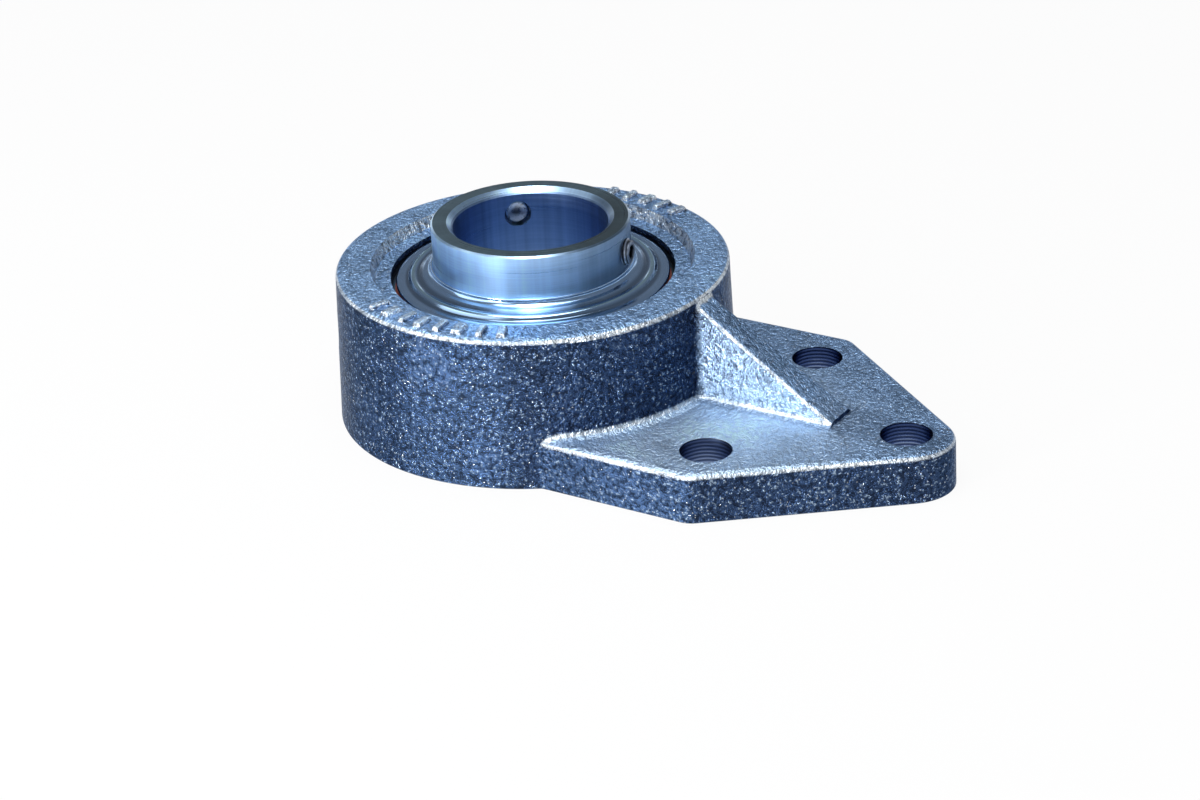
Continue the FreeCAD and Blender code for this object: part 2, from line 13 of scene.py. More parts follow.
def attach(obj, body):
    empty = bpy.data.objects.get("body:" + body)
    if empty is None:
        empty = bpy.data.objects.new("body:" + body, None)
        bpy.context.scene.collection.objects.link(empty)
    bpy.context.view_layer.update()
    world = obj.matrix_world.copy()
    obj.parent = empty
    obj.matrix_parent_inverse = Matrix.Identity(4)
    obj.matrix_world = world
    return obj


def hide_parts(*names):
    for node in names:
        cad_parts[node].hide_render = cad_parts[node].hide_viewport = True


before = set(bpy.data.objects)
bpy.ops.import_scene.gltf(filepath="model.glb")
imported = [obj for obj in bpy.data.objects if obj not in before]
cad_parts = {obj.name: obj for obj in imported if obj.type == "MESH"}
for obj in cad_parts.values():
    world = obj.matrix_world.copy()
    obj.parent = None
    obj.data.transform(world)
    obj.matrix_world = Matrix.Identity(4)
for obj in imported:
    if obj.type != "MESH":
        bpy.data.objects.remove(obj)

LOG = logging.getLogger("flange_bearing_unit")
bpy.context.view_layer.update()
MM = 0.001
FULL_TURN = 2 * math.pi
MERGE_DISTANCE = 1e-6

Colour = tuple[float, float, float]
Point = tuple[float, float]
Span = tuple[float, float]
Row = tuple[float, float, float, float]
Value = Union["Signal", float, int]
Paint = Union["Signal", Colour]


class Slot(Enum):
    """The record's material slots."""

    CASTING = "plated_casting"
    RING = "ring_steel"
    BALL = "ball_steel"
    CAGE = "cage_steel"
    FLINGER = "flinger_steel"
    SEAL = "seal_rubber"
    SCREW = "screw_steel"


# Shader maths


class Signal:
    """A shader socket on which plain arithmetic adds Math nodes."""

    def __init__(self, sheet: "Sheet", socket: bpy.types.NodeSocket) -> None:
        """Keep the socket and the sheet that it is on."""
        self.sheet = sheet
        self.socket = socket

    def __add__(self, other: Value) -> "Signal":
        """The sum."""
        return self.sheet.math("ADD", self, other)

    def __radd__(self, other: Value) -> "Signal":
        """The sum, from the right."""
        return self.sheet.math("ADD", other, self)

    def __sub__(self, other: Value) -> "Signal":
        """The difference."""
        return self.sheet.math("SUBTRACT", self, other)

    def __rsub__(self, other: Value) -> "Signal":
        """The difference, from the right."""
        return self.sheet.math("SUBTRACT", other, self)

    def __mul__(self, other: Value) -> "Signal":
        """The product."""
        return self.sheet.math("MULTIPLY", self, other)

    def __rmul__(self, other: Value) -> "Signal":
        """The product, from the right."""
        return self.sheet.math("MULTIPLY", other, self)

    def __truediv__(self, other: Value) -> "Signal":
        """The quotient."""
        return self.sheet.math("DIVIDE", self, other)

    def __abs__(self) -> "Signal":
        """The size without its sign."""
        return self.sheet.math("ABSOLUTE", self)

    def sine(self) -> "Signal":
        """The sine."""
        return self.sheet.math("SINE", self)

    def ramp(self, start: float, end: float) -> "Signal":
        """A smooth step.

        Args:
            start: the value at which the step is still 0.
            end: the value from which it is 1. It may be below start.

        Returns:
            A signal from 0 to 1.
        """
        rising = start < end
        low, high = (start, end) if rising else (end, start)
        node = self.sheet.node(
            "ShaderNodeMapRange",
            {"interpolation_type": "SMOOTHSTEP"},
            {0: self, 1: low, 2: high, 3: 0.0 if rising else 1.0, 4: 1.0 if rising else 0.0},
        )
        return Signal(self.sheet, node.outputs[0])

    def hump(self, rise: Span, fall: Span) -> "Signal":
        """One between two smooth steps, and 0 before and after them."""
        return self.ramp(*rise) * self.ramp(*fall)

    def between(self, first: float, second: float) -> "Signal":
        """The first number where the signal is 0, and the second where it is 1."""
        return first + self * (second - first)


class Sheet:
    """The node tree of one finish, world or floor."""

    def __init__(self, tree: bpy.types.NodeTree) -> None:
        """Start from an empty tree."""
        self.tree = tree
        tree.nodes.clear()

    def node(
        self,
        kind: str,
        settings: dict | None = None,
        sockets: dict | None = None,
    ) -> bpy.types.Node:
        """Add a node.

        Args:
            kind: the node's type.
            settings: its own settings, which are set first.
            sockets: a value or a Signal for each socket, by name or number.

        Returns:
            The new node.
        """
        node = self.tree.nodes.new(kind)
        for name, value in (settings or {}).items():
            setattr(node, name, value)
        for key, value in (sockets or {}).items():
            if isinstance(value, Signal):
                self.tree.links.new(value.socket, node.inputs[key])
            elif isinstance(value, tuple) and node.inputs[key].type == "RGBA":
                node.inputs[key].default_value = (*value, 1.0)
            else:
                node.inputs[key].default_value = value
        return node

    def signal(self, node: bpy.types.Node, output: Union[int, str] = 0) -> Signal:
        """One output of a node as a Signal."""
        return Signal(self, node.outputs[output])

    def math(self, operation: str, *values: Value) -> Signal:
        """A Math node on numbers or signals."""
        sockets = dict(enumerate(values))
        return self.signal(self.node("ShaderNodeMath", {"operation": operation}, sockets))

    def colour(self, factor: Value, first: Paint, second: Paint) -> Signal:
        """A mix of two colours, all the second where factor is 1."""
        sockets = {0: factor, 6: first, 7: second}
        return self.signal(self.node("ShaderNodeMix", {"data_type": "RGBA"}, sockets), 2)

    def tinted(self, colour: Paint, strength: Signal) -> Signal:
        """A colour times a number that varies over the surface."""
        channels = dict.fromkeys(range(3), strength)
        grey = self.signal(self.node("ShaderNodeCombineColor", None, channels))
        settings = {"data_type": "RGBA", "blend_type": "MULTIPLY"}
        return self.signal(self.node("ShaderNodeMix", settings, {0: 1.0, 6: colour, 7: grey}), 2)

    def place(self) -> Signal:
        """The object coordinates, in metres."""
        return self.signal(self.node("ShaderNodeTexCoord"), "Object")

    def normal(self) -> tuple[Signal, Signal, Signal]:
        """The three parts of the surface's normal."""
        return self.axes(self.signal(self.node("ShaderNodeNewGeometry"), "Normal"))

    def axes(self, vector: Signal) -> tuple[Signal, Signal, Signal]:
        """The three parts of a vector."""
        parts = self.node("ShaderNodeSeparateXYZ", None, {0: vector})
        return tuple(self.signal(parts, number) for number in range(3))

    def vector(self, x: Value, y: Value, z: Value) -> Signal:
        """A vector from its three parts."""
        return self.signal(self.node("ShaderNodeCombineXYZ", None, {0: x, 1: y, 2: z}))

    def reach(self, x: Value, y: Value) -> Signal:
        """The distance from an axis, given two offsets from it."""
        return self.math("SQRT", self.math("ADD", x * x, y * y))

    def noise(
        self,
        vector: Signal,
        scale: float,
        detail: float = 2.0,
        roughness: float = 0.5,
    ) -> Signal:
        """Cloudy noise from 0 to 1, with about `scale` bumps to the metre."""
        sockets = {"Vector": vector, "Scale": scale, "Detail": detail, "Roughness": roughness}
        return self.signal(self.node("ShaderNodeTexNoise", None, sockets), 0)

    def cells(self, vector: Signal, scale: float, smooth: bool = False) -> bpy.types.Node:
        """Voronoi cells, with about `scale` of them to the metre."""
        settings = {"feature": "SMOOTH_F1" if smooth else "F1"}
        return self.node("ShaderNodeTexVoronoi", settings, {"Vector": vector, "Scale": scale})

    def bump(self, height: Signal, depth: float) -> Signal:
        """A normal bent by a height of 0 to 1 that stands for `depth` metres."""
        return self.signal(self.node("ShaderNodeBump", None, {"Height": height, "Distance": depth}))


# Finishes


@dataclass(frozen=True)
class Finish:
    """A surface finish with its own material."""

    name: str

    def paint(self, sheet: Sheet) -> dict[str, Value]:
        """The sockets of the shader.

        Args:
            sheet: the node tree to add the pattern to.

        Returns:
            A value or signal for each socket of the shader, by name.
        """
        raise NotImplementedError

    def material(self) -> bpy.types.Material:
        """The finish's material, made once."""
        found = bpy.data.materials.get(self.name)
        if found:
            return found
        made = bpy.data.materials.new(self.name)
        made.use_nodes = True
        sheet = Sheet(made.node_tree)
        shader = sheet.node("ShaderNodeBsdfPrincipled", None, self.paint(sheet))
        sheet.node("ShaderNodeOutputMaterial", None, {"Surface": sheet.signal(shader)})
        return made


@dataclass(frozen=True)
class CastSkin(Finish):
    """Rough sand-cast iron under bright plating, machined in its holes, seat and base, with painted
    light and shade in its colour.
    """

    # Colours. Walls are painted in shade, those that face the front with a painted reflection, and
    # tops lighter as lit, more on the rim than on the plate
    wall: Colour = (0.034, 0.064, 0.142)
    front_reflection: Colour = (0.062, 0.116, 0.240)
    top: Colour = (0.37, 0.59, 0.92)
    plate: Colour = (0.29, 0.45, 0.70)
    # painted light on the rib's sides and on the plate in the pocket before the rib
    painted_light: Colour = (0.62, 0.80, 1.0)
    # painted shade on the rib's ridge
    ridge: Colour = (0.15, 0.24, 0.40)
    # painted highlight on rounded edges, also the colour of the painted glints
    painted_highlight: Colour = (0.90, 0.96, 1.0)
    edge: Colour = (0.50, 0.56, 0.66)
    # painted shade in the hollows of the grain
    hollow_shade: Colour = (0.010, 0.014, 0.026)
    # painted highlight on the peaks of the grain
    bright: Colour = (0.64, 0.82, 1.0)
    machined: Colour = (0.24, 0.32, 0.52)
    turned: Colour = (0.42, 0.46, 0.52)

    # Gloss, and how much each kind of place adds to the roughness
    metallic: float = 1.0
    roughness: float = 0.26
    speck_haze: float = -0.14
    cut_haze: float = -0.08
    cloud_haze: float = 0.12
    flat_haze: float = 0.10
    pocket_haze: float = 0.10

    # Grain, clouds and specks with painted glints, as a number to the metre
    pebbles: float = 780.0
    pebble_steepness: float = 1.15
    pebble_share: float = 0.45
    fine_grain: float = 1900.0
    grain_depth: float = 1.2 * MM
    clouds: float = 60.0
    specks: float = 1500.0
    speck_size: Span = (0.38, 0.16)
    speck_chance: Span = (0.94, 0.96)
    wall_specks: float = 0.02
    flat_specks: float = 0.15
    glint_strength: float = 0.7

    # Tool marks in the cut places
    tooth_pitch: float = 1.1 * MM
    tooth_wander: float = 4.0
    ring_grain: float = 900.0
    ring_depth: float = 0.012

    # Where the normal counts as level, as facing the painted reflection or as the rounded lip of an
    # edge with its painted highlight
    level: Span = (0.10, 0.80)
    reflection_normal: Point = (0.14, -0.99)
    reflection_step: Span = (0.93, 0.995)
    highlight_rise: Span = (0.12, 0.40)
    highlight_fall: Span = (0.78, 0.62)
    sideways: Span = (0.3, 0.7)

    # How strong each mark is, from one kind of place to another
    painted_light_relief: Span = (1.0, 0.65)
    level_relief: Span = (1.0, 0.88)
    mottling: Span = (0.80, 1.20)
    highlight_breakup: Span = (0.5, 1.0)
    hollow_shade_walls_to_tops: Span = (0.74, 0.40)
    hollow_shade_by_painted_light: Span = (1.0, 0.34)
    peak_highlight_walls_to_tops: Span = (0.40, 0.22)
    tooth_shade: Span = (0.72, 1.0)
    shaded_hollows: Span = (0.50, 0.38)
    highlighted_peaks: Span = (0.58, 0.70)

    # Places on the casting
    base_height: float = -27.3 * MM
    hole_reach: float = 7.32 * MM
    near_hole: Point = (75.2 * MM, 33 * MM)
    tip_hole_x: float = 120 * MM
    seat_reach: float = 43.2 * MM
    rib_reach: float = 9.0 * MM
    rib_blend: float = 2.0 * MM
    rib_start: Span = (56 * MM, 60 * MM)
    rib_foot: Span = (-13.5 * MM, -12.5 * MM)
    rib_strength: float = 0.62
    pocket: Point = (70 * MM, -24 * MM)
    pocket_fade: Span = (66 * MM, 22 * MM)
    pocket_wander: float = 14 * MM
    rim_to_plate: Span = (-5 * MM, -12 * MM)

    def cuts(self, sheet: Sheet, place: Signal) -> tuple[Signal, Signal, Signal]:
        """Find the machined places.

        Args:
            sheet: the node tree to add to.
            place: the object coordinates.

        Returns:
            Masks of the bolt holes, of the turned seat and base, and of the skin left as cast.
        """
        x, y, z = sheet.axes(place)
        near = sheet.reach(x - self.near_hole[0], abs(y) - self.near_hole[1])
        tip = sheet.reach(x - self.tip_hole_x, y)
        from_hole = sheet.math("MINIMUM", near, tip)
        in_hole = from_hole.ramp(self.hole_reach + 0.1 * MM, self.hole_reach)
        from_middle = sheet.reach(sheet.reach(x, y), z)
        in_seat = from_middle.ramp(self.seat_reach, self.seat_reach - 0.3 * MM)
        at_base = z.ramp(self.base_height + 0.15 * MM, self.base_height + 0.05 * MM)
        skin = (1 - in_hole) * (1 - in_seat) * (1 - at_base)
        return in_hole, in_seat + at_base, skin

    def rib(self, sheet: Sheet, place: Signal) -> Signal:
        """A mask of the rib, down to the plate."""
        x, y, z = sheet.axes(place)
        across = abs(y).ramp(self.rib_reach, self.rib_reach - self.rib_blend)
        return across * x.ramp(*self.rib_start) * self.rib_strength * z.ramp(*self.rib_foot)

    def painted_light_pocket(self, sheet: Sheet, place: Signal, clouds: Signal) -> Signal:
        """A mask of the plate's half where light is painted, with a cloudy edge."""
        x, y, z = sheet.axes(place)
        away = sheet.reach(x - self.pocket[0], y - self.pocket[1]) + clouds * self.pocket_wander
        return away.ramp(*self.pocket_fade) * z.ramp(*self.rim_to_plate)

    def painted_glints(self, sheet: Sheet, place: Signal, upward: Signal) -> Signal:
        """Specks with painted glints and less roughness, more of them on the level places."""
        speck = sheet.cells(place, self.specks)
        chance = sheet.axes(sheet.signal(speck, "Color"))[0]
        lit = (chance + self.wall_specks + self.flat_specks * upward).ramp(*self.speck_chance)
        return lit * sheet.signal(speck, "Distance").ramp(*self.speck_size)

    def grain(self, sheet: Sheet, place: Signal) -> Signal:
        """The height of the cast grain, from 0 to 1."""
        distance = sheet.signal(sheet.cells(place, self.pebbles, True), "Distance")
        pebbles = 1 - self.pebble_steepness * distance
        fine = sheet.noise(place, self.fine_grain, 1.0, 0.5)
        return pebbles * self.pebble_share + fine * (1 - self.pebble_share)

    def paint(self, sheet: Sheet) -> dict[str, Value]:
        """See Finish.paint."""
        place = sheet.place()
        z = sheet.axes(place)[2]
        across, ahead, facing = sheet.normal()
        upward = facing.ramp(*self.level)
        clouds = sheet.noise(place, self.clouds, 3.0, 0.6)
        in_hole, bared, skin = self.cuts(sheet, place)
        grain = self.grain(sheet, place)
        painted_glints = self.painted_glints(sheet, place, upward) * skin

        rib = self.rib(sheet, place)
        # Painted light on the rib's sides and on the plate in the pocket before the rib
        rib_sides = rib * (1 - upward) * abs(ahead).ramp(*self.sideways)
        pocket = self.painted_light_pocket(sheet, place, clouds)
        painted_light = sheet.math("MAXIMUM", rib_sides, pocket * upward)

        # Painted light and shade by the normal: shaded walls, a painted reflection on walls that
        # face the front, and tops lighter as lit
        reflection_facing = across * self.reflection_normal[0] + ahead * self.reflection_normal[1]
        body = sheet.colour(reflection_facing.ramp(*self.reflection_step), self.wall, self.front_reflection)
        tops = sheet.colour(z.ramp(*self.rim_to_plate), self.top, self.plate)
        body = sheet.colour(upward, body, tops)
        body = sheet.colour(painted_light, body, self.painted_light)
        # Painted shade on the rib's ridge
        body = sheet.colour(rib * upward, body, self.ridge)
        body = sheet.tinted(body, clouds.ramp(0.25, 0.75).between(*self.mottling))
        # Painted highlights along rounded edges, broken up by the clouds
        painted_highlight = facing.hump(self.highlight_rise, self.highlight_fall)
        painted_highlight = painted_highlight * clouds.ramp(0.35, 0.60).between(*self.highlight_breakup)
        body = sheet.colour(painted_highlight, body, self.painted_highlight)
        # Painted shade in the grain's hollows, deepest on walls and faint where light is painted
        shaded_hollows = grain.ramp(*self.shaded_hollows) * upward.between(*self.hollow_shade_walls_to_tops)
        body = sheet.colour(shaded_hollows * painted_light.between(*self.hollow_shade_by_painted_light), body, self.hollow_shade)
        # Painted highlights on the grain's peaks, more on walls than on tops
        highlighted_peaks = grain.ramp(*self.highlighted_peaks) * upward.between(*self.peak_highlight_walls_to_tops)
        body = sheet.colour(highlighted_peaks, body, self.bright)
        # Painted glints on the specks, in the edge highlight colour
        body = sheet.colour(painted_glints * self.glint_strength, body, self.painted_highlight)

        tooth = (z * (FULL_TURN / self.tooth_pitch) + clouds * self.tooth_wander).sine()
        rings = (tooth + sheet.noise(place, self.ring_grain)) * self.ring_depth
        drilled = sheet.tinted(self.machined, tooth.between(*self.tooth_shade))
        body = sheet.colour(in_hole, body, drilled)
        body = sheet.colour(bared, body, self.turned)

        relief = painted_light.between(*self.painted_light_relief) * upward.between(*self.level_relief)
        height = grain * skin * relief + rings * (1 - skin)
        haze = self.speck_haze * painted_glints + self.cut_haze * (1 - skin)
        haze = haze + self.cloud_haze * (clouds - 0.5)
        haze = haze + self.flat_haze * upward + self.pocket_haze * pocket
        return {
            "Base Color": body,
            "Metallic": self.metallic,
            "Roughness": self.roughness + haze,
            "Specular Tint": self.edge,
            "Normal": sheet.bump(height, self.grain_depth),
        }


@dataclass(frozen=True)
class TurnedSteel(Finish):
    """Ground bearing steel with fine marks round its axis and hatch in its bore, with painted
    reflection bands and a painted shaded side.
    """

    body: Colour = (0.49, 0.72, 1.0)
    face: Colour = (0.23, 0.36, 0.43)
    bore: Colour = (0.24, 0.37, 0.60)
    bore_reach: float = 22.9 * MM
    roughness: float = 0.30
    specks: bool = True

    # Marks to the metre along the section, and their depth
    marks: float = 9000.0
    streaks: float = 2200.0
    hatch: float = 5200.0
    mark_depth: float = 0.004 * MM
    mark_shade: float = 0.10
    streak_shade: Span = (0.86, 1.14)
    streak_haze: float = 0.12

    # Painted reflection bands, pale and dark, round the axis, and painted shade on the side towards
    # the bracket
    reflection_bands: float = 4.4
    reflection_band_strength: Span = (0.9, 1.1)
    painted_shade_side: Point = (0.97, 0.26)
    painted_shade_step: Span = (0.30, 0.95)
    painted_shade_depth: float = 0.5
    end_face: Span = (0.85, 0.97)

    # Small dark spots
    spots: float = 170.0
    spot_size: Span = (0.055, 0.03)
    spot_chance: Span = (0.80, 0.84)
    spot_shade: float = 0.85

    def spotted(self, sheet: Sheet, place: Signal) -> Signal:
        """The shade that the small dark spots leave."""
        dots = sheet.cells(place, self.spots)
        chance = sheet.axes(sheet.signal(dots, "Color"))[1].ramp(*self.spot_chance)
        spot = sheet.signal(dots, "Distance").ramp(*self.spot_size) * chance
        return 1 - self.spot_shade * spot

    def paint(self, sheet: Sheet) -> dict[str, Value]:
        """See Finish.paint."""
        place = sheet.place()
        x, y, z = sheet.axes(place)
        reach = sheet.reach(x, y)
        turn = sheet.math("ARCTAN2", y, x)
        fine = sheet.vector(reach * self.marks, z * self.marks, turn * 3)
        marks = sheet.noise(fine, 1.0, 2.0, 0.6)
        wide = sheet.vector(reach * self.streaks, z * self.streaks, turn * 0.6)
        streaks = sheet.noise(wide, 1.0, 1.0)
        along = turn * self.bore_reach
        hatch = ((along + z) * self.hatch).sine() * ((along - z) * self.hatch).sine()
        inside = reach.ramp(self.bore_reach + 0.1 * MM, self.bore_reach)

        end_face = abs(sheet.normal()[2]).ramp(*self.end_face)
        colour = sheet.colour(end_face, self.body, self.face)
        colour = sheet.colour(inside, colour, self.bore)
        # Painted reflection bands round the axis
        reflection_bands = sheet.noise(sheet.vector(turn * self.reflection_bands, 0.0, inside * 7), 1.0, 3.0, 0.65)
        shade = streaks.between(*self.streak_shade) + self.mark_shade * (marks - 0.5)
        shade = shade + inside.between(*self.reflection_band_strength) * (reflection_bands - 0.5)
        # Painted shade on the side towards the bracket, outside the bore
        painted_shade_side = (x * self.painted_shade_side[0] + y * self.painted_shade_side[1]) / reach
        shade = shade * (1 - self.painted_shade_depth * painted_shade_side.ramp(*self.painted_shade_step) * (1 - inside))
        if self.specks:
            shade = shade * self.spotted(sheet, place)
        height = marks * (1 - inside) + (hatch * 0.25 + 0.5) * inside
        return {
            "Base Color": sheet.tinted(colour, shade),
            "Metallic": 1.0,
            "Roughness": self.roughness + self.streak_haze * (streaks - 0.5),
            "Normal": sheet.bump(height, self.mark_depth),
        }


@dataclass(frozen=True)
class PressedSheet(Finish):
    """Pressed and plated sheet steel, drawn round the shaft's axis."""

    body: Colour = (0.46, 0.68, 0.98)
    roughness: float = 0.17
    cloud_haze: float = 0.16
    clouds: float = 130.0
    drawn: float = 2600.0
    drawn_depth: float = 0.012 * MM
    drawn_share: float = 0.6
    base_shade: float = 0.80
    drawn_shade: float = 0.26
    cloud_shade: float = 0.14

    # Painted highlight on the crest and painted shade in the troughs of the pressed form, as where
    # each rises and falls along the radius
    ring_light_and_shade: float = 0.5
    crest: tuple[Span, Span] = ((33.6 * MM, 34.6 * MM), (35.6 * MM, 34.9 * MM))
    inner_trough: tuple[Span, Span] = ((31.4 * MM, 32.6 * MM), (34.2 * MM, 33.3 * MM))
    outer_trough: tuple[Span, Span] = ((35.3 * MM, 36.0 * MM), (37.4 * MM, 36.6 * MM))

    def paint(self, sheet: Sheet) -> dict[str, Value]:
        """See Finish.paint."""
        place = sheet.place()
        x, y, z = sheet.axes(place)
        reach = sheet.reach(x, y)
        turn = sheet.math("ARCTAN2", y, x)
        drawn = sheet.vector(reach * self.drawn, z * 900, turn * 1.2)
        drawn = sheet.noise(drawn, 1.0, 3.0, 0.6)
        clouds = sheet.noise(place, self.clouds, 3.0)
        # Painted highlight on the crest and painted shade in the troughs
        trough = reach.hump(*self.inner_trough) + reach.hump(*self.outer_trough)
        rings = 0.5 * reach.hump(*self.crest) - trough
        shade = self.base_shade + self.drawn_shade * drawn + self.cloud_shade * clouds
        shade = shade * (1 + self.ring_light_and_shade * rings)
        height = drawn * self.drawn_share + clouds * (1 - self.drawn_share)
        return {
            "Base Color": sheet.tinted(self.body, shade),
            "Metallic": 1.0,
            "Roughness": self.roughness + self.cloud_haze * (clouds - 0.5),
            "Normal": sheet.bump(height, self.drawn_depth),
        }


@dataclass(frozen=True)
class PolishedSteel(Finish):
    """Lapped steel of the balls."""

    body: Colour = (0.62, 0.64, 0.67)
    haze: float = 900.0
    haze_shade: Span = (0.94, 1.06)
    haze_roughness: Span = (0.07, 0.13)

    def paint(self, sheet: Sheet) -> dict[str, Value]:
        """See Finish.paint."""
        haze = sheet.noise(sheet.place(), self.haze, 3.0)
        return {
            "Base Color": sheet.tinted(self.body, haze.between(*self.haze_shade)),
            "Metallic": 1.0,
            "Roughness": haze.between(*self.haze_roughness),
        }


@dataclass(frozen=True)
class SealRubber(Finish):
    """Matt red-brown nitrile rubber with a dusting of wear."""

    body: Colour = (0.16, 0.030, 0.022)
    worn: Colour = (0.24, 0.07, 0.05)
    dust: float = 300.0
    dusty: Span = (0.45, 0.75)
    dust_roughness: Span = (0.55, 0.75)
    grain: float = 2500.0
    grain_depth: float = 0.02 * MM

    def paint(self, sheet: Sheet) -> dict[str, Value]:
        """See Finish.paint."""
        place = sheet.place()
        dust = sheet.noise(place, self.dust, 4.0, 0.6)
        return {
            "Base Color": sheet.colour(dust.ramp(*self.dusty), self.body, self.worn),
            "Roughness": dust.between(*self.dust_roughness),
            "Specular IOR Level": 0.4,
            "Normal": sheet.bump(sheet.noise(place, self.grain, 2.0), self.grain_depth),
        }


@dataclass(frozen=True)
class BlackOxide(Finish):
    """Blackened steel of a set screw, paler on its crests, its head and its cup point, from wear and
    from a painted reflection.
    """

    azimuth: float = 0.0
    height: float = 22.4 * MM
    tip_reach: float = 24.0 * MM
    body: Colour = (0.022, 0.028, 0.042)
    wear_and_reflection: Colour = (0.42, 0.50, 0.64)
    crest: Span = (3.35 * MM, 3.75 * MM)
    point: Span = (1.3 * MM, 0.2 * MM)
    head: Span = (5.9 * MM, 6.3 * MM)
    head_wear_and_reflection: float = 0.6
    wear: float = 1400.0
    wear_step: Span = (0.25, 0.50)
    wear_roughness: Span = (0.26, 0.48)
    wear_depth: float = 0.02 * MM

    def paint(self, sheet: Sheet) -> dict[str, Value]:
        """See Finish.paint."""
        place = sheet.place()
        x, y, z = sheet.axes(place)
        turn = math.radians(self.azimuth)
        along = x * math.cos(turn) + y * math.sin(turn)
        reach = sheet.reach(y * math.cos(turn) - x * math.sin(turn), z - self.height)
        wear = sheet.noise(place, self.wear, 4.0, 0.65)
        point = (along - self.tip_reach).ramp(*self.point)
        head = (along - self.tip_reach).ramp(*self.head) * self.head_wear_and_reflection
        # Paler where worn, which also stands as a painted reflection on the point, head and crests
        wear_and_reflection_mask = sheet.math("MAXIMUM", reach.ramp(*self.crest), head)
        wear_and_reflection_mask = sheet.math("MAXIMUM", wear_and_reflection_mask, point) * wear.ramp(*self.wear_step)
        return {
            "Base Color": sheet.colour(wear_and_reflection_mask, self.body, self.wear_and_reflection),
            "Metallic": 0.85,
            "Roughness": wear.between(*self.wear_roughness),
            "Normal": sheet.bump(wear, self.wear_depth),
        }


CASTING = CastSkin("plated_cast_skin")
# The marks' copy of the casting's finish, with walls, front and tops painted lighter as lit
PAINTED_LIT_MARKS = CastSkin(
    "plated_cast_marks_painted_lit",
    wall=(0.30, 0.40, 0.58),
    front_reflection=(0.36, 0.48, 0.68),
    top=(0.66, 0.82, 1.0),
)
COLLAR_STEEL = TurnedSteel("ground_collar_steel")
RACE_STEEL = TurnedSteel(
    "ground_ring_steel",
    body=(0.40, 0.45, 0.52),
    bore_reach=1 * MM,
    specks=False,
)
FLINGER_SHEET = PressedSheet("plated_flinger_sheet")
CAGE_SHEET = PressedSheet(
    "cage_sheet_steel",
    body=(0.50, 0.50, 0.50),
    roughness=0.34,
    ring_light_and_shade=0.0,
)
BALLS = PolishedSteel("lapped_ball_steel")
RUBBER = SealRubber("seal_rubber")


# Modelling by hand


